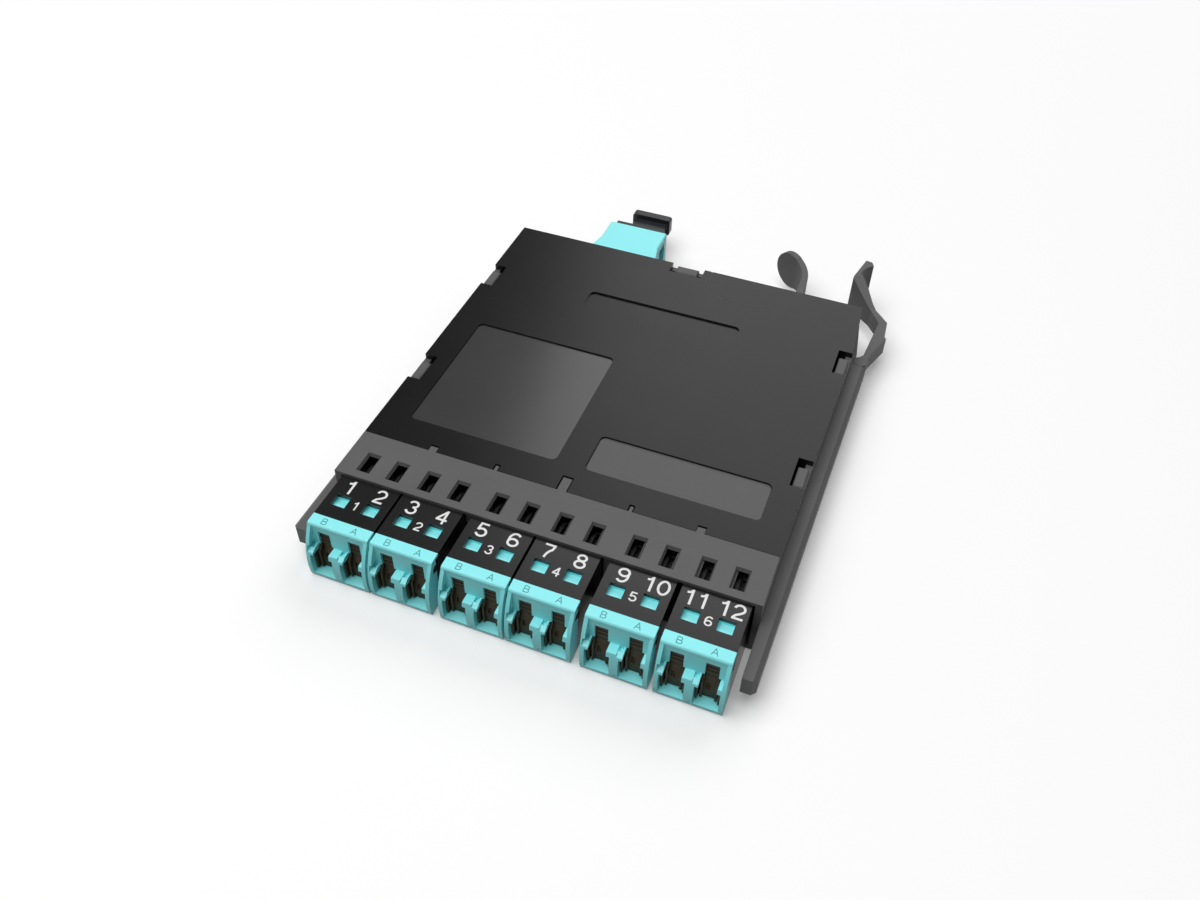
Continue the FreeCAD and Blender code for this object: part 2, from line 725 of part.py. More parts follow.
def shutter_door(x, outward):
    """Brown door: barrel and trunnions on top, flanges and columns below, a scooped face with an eye."""
    half = door_width / 2
    y0 = pivot_y - barrel_radius
    y1 = y0 + door_thickness
    z0 = port_floor + door_lift
    leaf = box(x - half, x + half, y0, y1, z0, pivot_height)
    barrel = rod(vec(x - half, pivot_y, pivot_height), vec(1, 0, 0), barrel_radius, door_width)
    inward_pin = pivot_seat - pivot_play
    outward_pin = adapter_width / 2 - port_pitch / 2 - half - pivot_play
    reach_left = inward_pin if outward > 0 else outward_pin
    reach_right = outward_pin if outward > 0 else inward_pin
    pins = rod(vec(x - half - reach_left, pivot_y, pivot_height), vec(1, 0, 0), pivot_radius,
               door_width + reach_left + reach_right)
    hub = rod(vec(x + outward * (half + outward_pin), pivot_y, pivot_height), vec(-outward, 0, 0),
              hub_radius, tongue_thickness - pivot_play)
    pieces = [leaf, barrel, pins, hub]
    shoulder = port_floor + port_height - loose_gap
    top = port_floor + port_height + ledge_height - loose_gap
    flange_x = port_width / 2 - loose_gap
    column_x = ledge_width / 2 - loose_gap
    flange = [(y0 + 0.1, z0), (y0 - flange_depth, z0), (y0 - flange_depth, shoulder - flange_slope),
              (y0 - flange_depth + flange_slope, shoulder), (y0 + 0.1, shoulder)]
    column = [(y0 + 0.1, z0), (y0 - column_depth, z0), (y0 - column_depth, top - column_slope), (y0, top),
              (y0 + 0.1, top)]
    for side in (-1, 1):
        for outline, edge, width in ((flange, flange_x, flange_width), (column, column_x, column_width)):
            xs = sorted((x + side * edge, x + side * (edge - width)))
            pieces.append(side_prism(outline, xs[0], xs[1]))
    low = (z0 + shoulder) / 2
    scoop = ((y0 - 0.3 * face_depth, (low + shoulder) / 2), (y0, shoulder))
    face = [(y0 + 0.1, z0), (y0 - face_depth, z0), (y0 - face_depth, low), scoop, (y0 + 0.1, shoulder)]
    inner = column_x - column_width + 0.1
    pieces.append(side_prism(face, x - inner, x + inner))
    bar_half = latch_slot_width / 2 - loose_gap
    for rise in bar_rises:
        bar = port_floor + port_height + ledge_height + rise
        pieces.append(box(x - bar_half, x + bar_half, y0 - bar_depth, y0 + 0.1, bar, bar + bar_height))
    eye_x = x - eye_shift
    radius = eye_width / 2
    straight = eye_length / 2 - radius
    sink = eye_depth - face_depth
    eye = box(eye_x - radius, eye_x + radius, y0 - 1, y0 + sink, eye_height - straight, eye_height + straight)
    for end in (-straight, straight):
        eye = eye.fuse(rod(vec(eye_x, y0 - 1, eye_height + end), vec(0, 1, 0), radius, 1 + sink))
    return join(pieces).cut(eye).removeSplitter()


def alignment_sleeves(center):
    """Two split ceramic sleeves, held in the web of the housing."""
    sleeves = []
    for side in (-1, 1):
        x = center + side * port_pitch / 2
        y = front - web_front + sleeve_stop + seat_gap
        tube = rod(vec(x, y, ferrule_axis), vec(0, 1, 0), sleeve_radius, sleeve_length)
        tube = tube.cut(rod(vec(x, y - 1, ferrule_axis), vec(0, 1, 0), sleeve_bore, sleeve_length + 2))
        half = sleeve_slit / 2
        sleeves.append(tube.cut(box(x - half, x + half, y - 1, y + sleeve_length + 1, ferrule_axis, ferrule_axis + 2)))
    return Part.makeCompound(sleeves)


def ferrules(center):
    """Two ceramic ferrules that reach from the inner plugs to the middle of the sleeves."""
    pins = []
    for side in (-1, 1):
        x = center + side * port_pitch / 2
        pins.append(rod(vec(x, plug_front - ferrule_length + 2.0, ferrule_axis), vec(0, 1, 0),
                        ferrule_radius, ferrule_length))
    return Part.makeCompound(pins)


def inner_connector(x):
    """Plug inside the case: square body, forked latch and tapered boot."""
    half = plug_width / 2
    y0 = plug_front
    y1 = y0 + plug_length
    body = box(x - half, x + half, y0, y1, ferrule_axis - half, ferrule_axis + half)
    body = body.cut(rod(vec(x, y0 - 1, ferrule_axis), vec(0, 1, 0), ferrule_radius + 0.03, 3.05))
    top = ferrule_axis + half
    tip = front + slot_setback + 1.0
    arm = side_prism([(y0 + 6.5, top - 0.1), (y0 + 8.2, top - 0.1), (y0 + 1.0, top + fork_rise + fork_thickness * 0.8),
                      (tip, top + fork_rise + fork_thickness * 0.8), (tip, top + fork_rise),
                      (y0 + 0.6, top + fork_rise)], x - fork_width / 2, x + fork_width / 2)
    gap = fork_width / 2 - fork_prong
    arm = arm.cut(box(x - gap, x + gap, tip - 1, y0 + 3.0, top, top + 5))
    boot = Part.makeCone(boot_radius, fibre_radius + 0.35, boot_length, vec(x, y1, ferrule_axis), vec(0, 1, 0))
    bore = rod(vec(x, y1 + boot_length - 2.0, ferrule_axis), vec(0, 1, 0), fibre_radius, 3)
    return join([body, arm, boot]).cut(bore)


def fibre(index):
    """One fibre: out of its boot, across the tray in two equal bends, into the fan-out block."""
    x0 = port_centers[index]
    column = index // 2
    layer = (index % 2 - 0.5) * fibre_layer
    x1 = mtp_x + (column - 2.5) * fibre_column
    y0 = plug_front + plug_length + boot_length - 2.0
    y1 = fanout_front
    z0 = ferrule_axis
    z1 = mid_height + layer
    a = vec(x0, y0, z0)
    b = vec(x0, y0 + 7, z0)
    c = vec(x1, y1 - 5.5, z1)
    d = vec(x1, y1, z1)
    edges = []
    start = a
    for corner, before, after in ((b, a, c), (c, b, d)):
        into = (corner - before).normalize()
        out = (after - corner).normalize()
        turn = into.getAngle(out)
        tangent = 3.6
        if turn < 0.02:
            continue
        p = corner - into * tangent
        q = corner + out * tangent
        middle = (out - into).normalize()
        radius = tangent / math.tan(turn / 2)
        via = corner + middle * (radius / math.cos(turn / 2) - radius)
        edges.append(Part.LineSegment(start, p).toShape())
        edges.append(Part.Arc(p, via, q).toShape())
        start = q
    edges.append(Part.LineSegment(start, d).toShape())
    path = Part.Wire(edges)
    section = Part.Wire(Part.makePolygon([
        a + vec(fibre_radius * math.cos(t * math.pi / 3), 0, fibre_radius * math.sin(t * math.pi / 3))
        for t in range(7)]))
    return path.makePipeShell([section], True, False)


def fanout_block():
    """Moulded block where the trunk's twelve fibres part."""
    half = fanout_width / 2
    tall = fanout_height / 2
    y1 = fanout_front + fanout_length
    block = box(mtp_x - half, mtp_x + half, fanout_front, y1, mid_height - tall, mid_height + tall)
    edges = [e for e in block.Edges if abs(e.tangentAt(e.FirstParameter).y) > 0.9]
    return block.makeFillet(0.6, edges)


def trunk():
    """Round jacketed stub from the fan-out block to the inner multi-fibre plug."""
    y0 = fanout_front + fanout_length
    return rod(vec(mtp_x, y0, mid_height), vec(0, 1, 0), trunk_radius, mtp_plug_front - mtp_plug_length - y0)


def mtp_adapter():
    """Aqua multi-fibre adapter: flange on the rear wall, keyed bore each way, and side gussets."""
    half = mtp_width / 2
    tall = mtp_height / 2
    flange = mtp_flange_width / 2
    y_wall = back + seat_gap
    y_flange = back + mtp_flange
    y_end = back + mtp_reach
    inner_half_width = mtp_inner_width / 2
    inner_tall = mtp_inner_height / 2
    shape = box(mtp_x - inner_half_width, mtp_x + inner_half_width, back - mtp_inner_reach, y_wall + 1,
                mid_height - inner_tall, mid_height + inner_tall)
    low, high = mid_height - tall, mid_height + tall
    collar = plan_prism([(mtp_x - flange, y_wall), (mtp_x + flange, y_wall), (mtp_x + half, y_flange),
                         (mtp_x - half, y_flange)], low, high)
    body = box(mtp_x - half, mtp_x + half, y_flange - 1, y_end, low, high)
    edges = [e for e in body.Edges if abs(e.tangentAt(e.FirstParameter).y) > 0.9]
    shape = shape.fuse([collar, body.makeChamfer(0.3, edges)])
    bore_half = mtp_bore_width / 2
    bore_tall = mtp_bore_height / 2
    web0 = back + mtp_web_front
    shape = shape.cut(box(mtp_x - bore_half, mtp_x + bore_half, back - mtp_inner_reach - 1, web0,
                          mid_height - bore_tall, mid_height + bore_tall))
    shape = shape.cut(box(mtp_x - bore_half, mtp_x + bore_half, web0 + mtp_web, y_end + 1,
                          mid_height - bore_tall, mid_height + bore_tall))
    shape = shape.cut(box(mtp_x - 1.2, mtp_x + 1.2, web0 + mtp_web, y_end + 1, mid_height, mid_height + bore_tall + 0.7))
    w, h, unused = ferrule_block
    shape = shape.cut(box(mtp_x - w / 2 - 0.1, mtp_x + w / 2 + 0.1, web0 - 1, web0 + mtp_web + 1,
                          mid_height - h / 2 - 0.1, mid_height + h / 2 + 0.1))
    scoop_end = y_end - mtp_collar
    for side in (-1, 1):
        edge = mtp_x + side * half
        scoop = plan_prism([(edge, y_flange), (edge - side * mtp_scoop, scoop_end), (edge + side, scoop_end),
                            (edge + side, y_flange)], low + mtp_scoop, high - 2 * mtp_scoop)
        shape = shape.cut(scoop)
    return shape.removeSplitter()


def mtp_plug():
    """Inner multi-fibre plug seated in the adapter, with its tapered boot end."""
    half = mtp_bore_width / 2 - plug_play
    tall = mtp_bore_height / 2 - plug_play
    y1 = mtp_plug_front
    y0 = y1 - mtp_plug_length
    shape = box(mtp_x - half, mtp_x + half, y0 + 6, y1, mid_height - tall, mid_height + tall)
    tail = box(mtp_x - half * 0.6, mtp_x + half * 0.6, y0, y0 + 6.1, mid_height - tall * 0.6, mid_height + tall * 0.6)
    shape = shape.fuse(tail)
    w, h, depth = ferrule_block
    shape = shape.cut(box(mtp_x - w / 2 - 0.05, mtp_x + w / 2 + 0.05, y1 - depth + mtp_web + 0.5, y1 + 1,
                          mid_height - h / 2 - 0.05, mid_height + h / 2 + 0.05))
    return shape.removeSplitter()


def mt_ferrule():
    """Rectangular twelve-fibre ferrule with two pin holes."""
    w, h, depth = ferrule_block
    y1 = mtp_plug_front + mtp_web + 0.5
    block = box(mtp_x - w / 2, mtp_x + w / 2, y1 - depth, y1, mid_height - h / 2, mid_height + h / 2)
    for side in (-1, 1):
        block = block.cut(rod(vec(mtp_x + side * pin_spacing / 2, y1 - 5, mid_height), vec(0, 1, 0),
                              pin_radius + 0.01, 6))
    return block


def guide_pins():
    """Two steel pins standing out of the ferrule's face."""
    y1 = mtp_plug_front + mtp_web + 0.5
    return Part.makeCompound([
        rod(vec(mtp_x + side * pin_spacing / 2, y1 - 5, mid_height), vec(0, 1, 0), pin_radius, 5 + pin_reach)
        for side in (-1, 1)])


def dust_cap():
    """Pull-off cap: hollow plug, collar, thin neck and a rounded end plate to pull on."""
    half = mtp_bore_width / 2 - cap_plug_play
    tall = mtp_bore_height / 2 - cap_plug_play
    y_end = back + mtp_reach
    plug = box(mtp_x - half, mtp_x + half, y_end - cap_plug_length, y_end + 0.3, mid_height - tall, mid_height + tall)
    plug = plug.cut(box(mtp_x - half + cap_wall, mtp_x + half - cap_wall, y_end - cap_plug_length - 1, y_end,
                        mid_height - tall + cap_wall, mid_height + tall - cap_wall))
    y0 = y_end + 0.1
    y1 = y0 + cap_collar
    w = cap_collar_width / 2
    h = cap_collar_height / 2
    collar = box(mtp_x - w, mtp_x + w, y0, y1, mid_height - h, mid_height + h)
    n = neck_width / 2
    t = neck_height / 2
    y2 = y1 + neck_length
    neck = box(mtp_x - n, mtp_x + n, y1 - 0.1, y2 + 0.1, mid_height - t, mid_height + t)
    g = grip_width / 2
    t = grip_height / 2
    grip = box(mtp_x - g, mtp_x + g, y2, y2 + grip_end, mid_height - t, mid_height + t)
    along = [e for e in grip.Edges if abs(e.tangentAt(e.FirstParameter).y) > 0.9]
    return join([plug, collar, neck, grip.makeFillet(grip_corner, along)])


# Sizes that several pieces share
slot_centers = []
for index in (3, 4, 5):
    pair_middle = (adapter_centers[index] - adapter_centers[5 - index]) / 2 - (outer_slot_inset if index == 5 else 0)
    for side in (-1, 1):
        slot_centers += [side * pair_middle - port_pitch / 2, side * pair_middle + port_pitch / 2]
door_width = port_pitch - middle_wall - 2 * door_play
pivot_y = front - lintel_reach + plate_thickness + door_play + barrel_radius
pivot_seat = (middle_wall - pivot_web) / 2
sleeve_length = web_front + web_rear - sleeve_stop - 2 * seat_gap
plug_front = front + web_rear + 0.1
fanout_width = 6 * fibre_column + 1.6
mtp_plug_front = back + mtp_web_front - seat_gap
fanout_front = mtp_plug_front - mtp_plug_length - fanout_gap - fanout_length

save("base_shell", base_shell())
save("top_cover", top_cover())
save("release_lever", release_lever())
for number, center in enumerate(adapter_centers, 1):
    save("adapter_housing_%d" % number, housing(center))
    save("shutter_body_%d" % number, shutter_body(center))
    save("alignment_sleeves_%d" % number, alignment_sleeves(center))
    save("ferrules_%d" % number, ferrules(center))
for number, x in enumerate(port_centers, 1):
    save("shutter_door_%02d" % number, shutter_door(x, 1 if number % 2 == 0 else -1))
    save("inner_connector_%02d" % number, inner_connector(x))
save("fanout_block", fanout_block())
save("fibres", Part.makeCompound([fibre(index) for index in range(12)]))
save("trunk", trunk())
save("rear_adapter", mtp_adapter())
save("rear_plug", mtp_plug())
save("rear_ferrule", mt_ferrule())
save("guide_pins", guide_pins())
save("dust_cap", dust_cap())
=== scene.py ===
# %% [markdown]
# # A fibre cassette: flat case, six shuttered adapters, slide rails
# The solids come from the CAD frame. This lesson dresses them: a camera whose
# view comes close to the picture's, moulded plastics with grain, printed port
# numbers, the smooth pockets of the lid, the deep fronts of the doors, and a
# white sheet under soft studio light. Lengths on the part are in millimetres
# and become metres where a mesh is made. Sheet and lamps are in metres.

# %% Load the frame
import json
import math

import bpy
import numpy as np
from mathutils import Matrix, Vector


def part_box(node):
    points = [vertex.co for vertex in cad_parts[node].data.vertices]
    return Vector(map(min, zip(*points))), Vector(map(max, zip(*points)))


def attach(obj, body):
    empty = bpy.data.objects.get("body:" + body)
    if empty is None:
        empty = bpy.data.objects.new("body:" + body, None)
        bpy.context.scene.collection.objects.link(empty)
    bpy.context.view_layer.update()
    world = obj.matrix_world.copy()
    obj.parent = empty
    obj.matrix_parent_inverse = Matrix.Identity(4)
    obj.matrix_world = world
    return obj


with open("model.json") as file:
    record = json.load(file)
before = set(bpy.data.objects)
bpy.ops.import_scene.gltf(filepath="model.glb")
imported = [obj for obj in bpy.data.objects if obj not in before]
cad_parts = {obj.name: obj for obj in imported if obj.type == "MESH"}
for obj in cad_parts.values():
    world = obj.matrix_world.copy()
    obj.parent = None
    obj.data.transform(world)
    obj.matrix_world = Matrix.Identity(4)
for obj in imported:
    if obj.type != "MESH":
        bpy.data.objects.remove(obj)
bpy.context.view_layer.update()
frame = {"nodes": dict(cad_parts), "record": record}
nodes = frame["nodes"]
MM = 0.001
scene = bpy.context.scene
scene.view_settings.view_transform = "Standard"

# %% [markdown]
# ## Camera
# Points of the shell, the rails and the adapters were measured in the picture
# and gave its own camera, whose optical axis runs far above the middle. That
# lens could be copied with a large shift, but views from other sides keep the
# shift and would lie far off centre. So the camera below stands in for it with
# a small one. A least-squares match of points on the case gives its place, its
# turn and its lens. The two differ by 1.8 pixels in the root mean square and by
# 4 pixels at most, in a picture 1200 pixels wide.

# %% Camera from azimuth, elevation and roll
picture_width = 1200
focal_pixels = 1061.26
film_width = 36
camera_place = Vector((52.978, -154.424, 162.305)) * MM
azimuth, elevation, roll = (math.radians(d) for d in (20.517, 42.869, 1.101))
back_axis = Vector((math.sin(azimuth) * math.cos(elevation),
                    -math.cos(azimuth) * math.cos(elevation), math.sin(elevation)))
level_right = Vector((math.cos(azimuth), math.sin(azimuth), 0))
level_up = back_axis.cross(level_right)
right_axis = math.cos(roll) * level_right + math.sin(roll) * level_up
up_axis = -math.sin(roll) * level_right + math.cos(roll) * level_up
camera_data = bpy.data.cameras.new("studio_camera")
camera_data.sensor_width = film_width
camera_data.lens = focal_pixels / picture_width * film_width
camera_data.shift_y = -0.05
camera_data.clip_start = 0.01
camera = bpy.data.objects.new("studio_camera", camera_data)
turn = Matrix((right_axis, up_axis, back_axis)).transposed().to_4x4()
camera.matrix_world = Matrix.Translation(camera_place) @ turn
scene.collection.objects.link(camera)
scene.camera = camera
print("lens", round(camera_data.lens, 2), "mm")

# %% [markdown]
# ## Helpers for node trees
# Every finish is a small tree of nodes. It could be drawn in the shader editor,
# but code shows each value. One helper adds a node and sets its sockets, the
# other starts an empty material.

# %% Add a node, start a material
def add_node(tree, kind, **sockets):
    """Adds a node; each keyword names a socket by words joined with underscores, or a property."""
    node = tree.nodes.new(kind)
    for name, value in sockets.items():
        label = name.replace("_", " ")
        found = [s for s in node.inputs if s.name.lower() == label.lower()]
        if found:
            found[0].default_value = value
        else:
            setattr(node, name, value)
    return node


def new_material(name):
    """An empty material with its output node, as (material, tree, output)."""
    material = bpy.data.materials.new(name)
    material.use_nodes = True
    tree = material.node_tree
    tree.nodes.clear()
    return material, tree, add_node(tree, "ShaderNodeOutputMaterial")


print("materials so far", len(bpy.data.materials))

# %% [markdown]
# ## Helper for pieces
# What the CAD frame lacks could be modelled by hand. Here it is computed as
# arrays of points and lists of faces, so that each shape can be read as a
# formula. Each such piece sits at the origin and rides a body of the frame, so
# that it moves with it.

# %% Make a piece of points and faces
def add_piece(name, points, faces, material, body="cassette"):
    """A mesh from points in mm, at the origin and unturned, riding a body."""
    mesh = bpy.data.meshes.new(name)
    mesh.from_pydata((np.asarray(points) * MM).tolist(), [], faces)
    mesh.materials.append(material)
    thing = bpy.data.objects.new(name, mesh)
    scene.collection.objects.link(thing)
    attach(thing, body)
    return thing


def show_counts(made):
    """Prints a piece's name and the number of its points and faces."""
    print(made.name, len(made.data.vertices), "points", len(made.data.polygons), "faces")


print("meshes from the frame", len(bpy.data.meshes))

# %% [markdown]
# ## Moulded plastic
# A steel mould that was spark-eroded leaves a fine, even grain on plastic, and
# the mould's edges are never knife-sharp. Real bevels would mean changing the
# CAD meshes, so a Bevel node bends the light at the edges instead. The grain is
# a noise bump a few tenths of a millimetre wide, and a slow noise varies the
# shade and the gloss a little, as flow in a mould does.

# %% Plastic with grain, soft edges and slow variation
NOISE_LOW, NOISE_HIGH = 0.3, 0.7
GLOSS_SPREAD = 0.012


def moulded_plastic(name, shade, gloss=0.5, grain=0.25, depth=0.012, edge=0.12, vary=0.12, shine=0.5):
    """Plastic of a linear shade times 1 plus or minus vary; grain, depth and edge are in mm."""
    material, tree, output = new_material(name)
    link = tree.links.new
    place = add_node(tree, "ShaderNodeTexCoord")
    shader = add_node(tree, "ShaderNodeBsdfPrincipled")
    shader.inputs["IOR"].default_value = 1.5
    shader.inputs["Specular IOR Level"].default_value = shine
    slow = add_node(tree, "ShaderNodeTexNoise", scale=90.0, detail=3.0)
    fine = add_node(tree, "ShaderNodeTexNoise", scale=1000.0 / grain, detail=2.0, roughness=0.6)
    tint = add_node(tree, "ShaderNodeValToRGB")
    low, high = tint.color_ramp.elements
    low.position, high.position = NOISE_LOW, NOISE_HIGH
    low.color = (*[c * (1 - vary) for c in shade], 1)
    high.color = (*[min(c * (1 + vary), 1) for c in shade], 1)
    rough = add_node(tree, "ShaderNodeMapRange", from_min=NOISE_LOW, from_max=NOISE_HIGH)
    rough.inputs["To Min"].default_value = gloss - GLOSS_SPREAD
    rough.inputs["To Max"].default_value = gloss + GLOSS_SPREAD
    soft_edge = add_node(tree, "ShaderNodeBevel", radius=edge * MM, samples=4)
    bump = add_node(tree, "ShaderNodeBump", strength=0.6, distance=depth * MM)
    for noise in (slow, fine):
        link(place.outputs["Object"], noise.inputs["Vector"])
    link(slow.outputs["Fac"], tint.inputs["Fac"])
    link(slow.outputs["Fac"], rough.inputs["Value"])
    link(fine.outputs["Fac"], bump.inputs["Height"])
    link(soft_edge.outputs["Normal"], bump.inputs["Normal"])
    link(tint.outputs["Color"], shader.inputs["Base Color"])
    link(rough.outputs["Result"], shader.inputs["Roughness"])
    link(bump.outputs["Normal"], shader.inputs["Normal"])
    link(shader.outputs["BSDF"], output.inputs["Surface"])
    return material


print("gloss varies by", GLOSS_SPREAD)

# %% [markdown]
# ## The finishes
# The shell is a satin grey, the lid darker and smoother, the adapters aqua in
# front and black behind, the doors dark brown. One function makes them all, so
# they differ only in shade, gloss, grain and edge. The inner ceramic and steel
# parts use it too, with almost no grain. Shades are linear.

# %% One finish for each slot of the record
finishes = {
    "case_grey": moulded_plastic("case_grey", (0.097, 0.097, 0.097), gloss=0.58, vary=0.05, edge=0.07),
    "cover_dark": moulded_plastic("cover_dark", (0.0078, 0.0078, 0.0078), gloss=0.26, grain=0.3,
                                  depth=0.0025, vary=0.04, edge=0.03, shine=0.3),
    "adapter_black": moulded_plastic("adapter_black", (0.009, 0.009, 0.0095), gloss=0.24, depth=0.002),
    "aqua": moulded_plastic("aqua", (0.28, 0.90, 0.93), gloss=0.42, vary=0.02, depth=0.005),
    "door_brown": moulded_plastic("door_brown", (0.040, 0.032, 0.014), gloss=0.5, edge=0.06, shine=0.3),
    "connector_grey": moulded_plastic("connector_grey", (0.09, 0.09, 0.09), gloss=0.3, edge=0.15),
    "fibre_jacket": moulded_plastic("fibre_jacket", (0.24, 0.70, 0.74), gloss=0.45, edge=0.05),
    "ferrule_dark": moulded_plastic("ferrule_dark", (0.03, 0.03, 0.03), gloss=0.3),
    "cap_black": moulded_plastic("cap_black", (0.016, 0.018, 0.022), gloss=0.36, edge=0.2),
    "ceramic": moulded_plastic("ceramic", (0.82, 0.79, 0.73), gloss=0.15, depth=0.001, vary=0.02),
    "pin_steel": moulded_plastic("pin_steel", (0.5, 0.5, 0.52), gloss=0.25, depth=0.002, vary=0.04),
}
print("finishes", len(finishes))

# %% [markdown]
# ## Dress the CAD nodes
# Each of the 59 CAD nodes could be given its finish by hand. But each names a
# slot in the record, so the slot picks the finish. The nodes' meshes stay as
# they are.

# %% Give every node its finish
slot_of = {part["node"]: part["material_slot"] for part in frame["record"]["subparts"]}
for name, thing in nodes.items():
    for spot in thing.material_slots:
        spot.material = finishes[slot_of[name]]
print("dressed", len(slot_of))

# %% [markdown]
# ## Pen strokes
# The sleeves carry white pad-printed numbers: one to twelve over the ports, one
# to six between the windows. Text objects would bring the shapes of their own
# font, and these digits are plainer. So each sign is drawn from a few strokes of
# one pen, straight runs and parts of ellipses, on a box that is one unit high.

# %% Strokes of the digits and letters
SIGN_WIDTH = 0.74


def bow(cx, cy, rx, ry, start, end, count=22):
    """Part of an ellipse: centre plus (rx cos t, ry sin t), t from start to end in degrees."""
    t = np.radians(np.linspace(start, end, count))
    return np.column_stack([cx + rx * np.cos(t), cy + ry * np.sin(t)])


def run(*corners):
    """Straight run through its corners."""
    return np.array(corners, dtype=float)


six = [bow(0.37, 0.31, 0.28, 0.24, 0, 360, 36),
       np.vstack([bow(0.40, 0.56, 0.31, 0.375, 42, 180), run((0.09, 0.33))])]
strokes = {
    "0": [bow(0.37, 0.5, 0.29, 0.435, 0, 360, 40)],
    "1": [run((0.42, 0), (0.42, 1)),
          np.vstack([run((0.12, 0.76), (0.22, 0.775)), bow(0.22, 0.94, 0.16, 0.165, -90, 0, 8)])],
    "2": [np.vstack([bow(0.37, 0.68, 0.27, 0.255, 172, -32),
                     run((0.46, 0.42), (0.22, 0.26), (0.10, 0.065))]),
          run((0.05, 0.065), (0.66, 0.065))],
    "3": [bow(0.35, 0.725, 0.25, 0.21, 168, -90), bow(0.35, 0.295, 0.28, 0.235, 90, -168)],
    "4": [run((0.50, 0), (0.50, 1)), run((0.02, 0.30), (0.69, 0.30)), run((0.06, 0.30), (0.50, 0.96))],
    "5": [run((0.16, 0.935), (0.62, 0.935)), run((0.17, 0.99), (0.11, 0.46)),
          bow(0.36, 0.325, 0.285, 0.265, 142, -160)],
    "6": six,
    "7": [run((0.05, 0.935), (0.68, 0.935)),
          np.vstack([run((0.62, 0.92)), bow(0.86, 0.0, 0.58, 0.75, 122, 178)])],
    "8": [bow(0.37, 0.735, 0.235, 0.2, 0, 360, 32), bow(0.37, 0.29, 0.28, 0.225, 0, 360, 36)],
    "9": [np.array([SIGN_WIDTH, 1.0]) - stroke for stroke in six],
    "A": [run((0.0, 0), (0.40, 1)), run((0.80, 0), (0.40, 1)), run((0.14, 0.35), (0.66, 0.35))],
    "B": [run((0.05, 0), (0.05, 1)),
          np.vstack([run((0.05, 0.96), (0.45, 0.96)), bow(0.45, 0.74, 0.2, 0.22, 90, -90, 12),
                     run((0.05, 0.52))]),
          np.vstack([run((0.05, 0.52), (0.48, 0.52)), bow(0.48, 0.28, 0.24, 0.24, 90, -90, 12),
                     run((0.05, 0.04))])],
}
print("signs", len(strokes), "strokes", sum(len(lines) for lines in strokes.values()))

# %% [markdown]
# ## From a stroke to a ribbon
# Ink has a little body. A curve with a bevel would do, but a ribbon worked out
# here has exact ends and closes on itself. It is a flat rectangle carried along
# the line: each point steps sideways, and the two heights make four rows.

# %% A rectangle carried along a line
SAME_POINT = 1e-6
SHARPEST = 0.5


def ribbon(line, half, z0, z1):
    """Each point plus and minus half times the mean normal of its two runs, at two heights.

    The step is divided by the cosine of half the turn, so that the width stays the same round a
    bend. Points that repeat are dropped. A line that ends where it starts becomes a loop without
    end faces.
    """
    apart = np.linalg.norm(np.diff(line, axis=0), axis=1) > SAME_POINT
    line = line[np.concatenate([[True], apart])]
    loop = np.allclose(line[0], line[-1])
    steps = np.diff(line, axis=0)
    steps /= np.linalg.norm(steps, axis=1)[:, None]
    if loop:
        line, ahead, behind = line[:-1], steps, np.roll(steps, 1, axis=0)
    else:
        ahead, behind = np.vstack([steps, steps[-1:]]), np.vstack([steps[:1], steps])
    mean = ahead + behind
    mean /= np.linalg.norm(mean, axis=1)[:, None]
    reach = half / np.maximum(np.sum(mean * ahead, axis=1), SHARPEST)
    side = np.column_stack([-mean[:, 1], mean[:, 0]]) * reach[:, None]
    count = len(line)
    rows = [np.column_stack([line + f * side, np.full(count, z)])
            for f, z in ((1, z0), (-1, z0), (-1, z1), (1, z1))]
    points = np.stack(rows, axis=1).reshape(-1, 3)
    starts = np.arange(count if loop else count - 1)[:, None]
    near, far = 4 * starts, 4 * ((starts + 1) % count)
    corner = np.arange(4)
    after = (corner + 1) % 4
    quads = np.stack([near + corner, far + corner, far + after, near + after], axis=-1)
    faces = quads.reshape(-1, 4).tolist()
    if not loop:
        last = 4 * (count - 1)
        faces += [[0, 1, 2, 3], [last + 3, last + 2, last + 1, last]]
    return points, faces


print("faces of a straight stroke", len(ribbon(strokes["A"][0], 0.1, 0, 0.02)[1]))

# %% [markdown]
# ## Words made of ribbons
# Each digit could be an object, but one pad prints many of them, so all words of
# one size are one piece here. Each later stroke of a sign is a little thicker
# than the one before, because two tops at one height would flicker where strokes
# cross.

# %% One piece of many words
INK, LAYER_STEP = 0.02, 0.3


def printed(name, words, pen, material, z):
    """Every word is (text, height, x, y of its middle) in mm; pen is the stroke's width in heights.

    A sign's unit box is scaled by the height and set SIGN_WIDTH heights after the sign before it.
    A stroke is INK thick, times 1 plus LAYER_STEP for each stroke before it in the same sign.
    """
    points, faces, count = [], [], 0
    for text, height, x, y in words:
        wide = SIGN_WIDTH * len(text)
        for place, sign in enumerate(text):
            start = np.array([SIGN_WIDTH * place - wide / 2, -0.5])
            for layer, line in enumerate(strokes[sign]):
                at = (line + start) * height + np.array([x, y])
                spots, rings = ribbon(at, pen * height / 2, z, z + INK * (1 + LAYER_STEP * layer))
                points.append(spots)
                faces += (np.array(rings) + count).tolist()
                count += len(spots)
    return add_piece(name, np.vstack(points), faces, material)


most_strokes = max(len(lines) for lines in strokes.values())
print("thickest ink", round(INK * (1 + LAYER_STEP * (most_strokes - 1)), 4), "mm")

# %% [markdown]
# ## Numbers over the ports, letters on the fronts
# The ports' places are read from the adapters' boxes, so the print follows the
# solids. White ink lies on the black sleeves. The letters on the aqua fronts are
# moulded in and only look darker, so a darker aqua stands for their shadow.

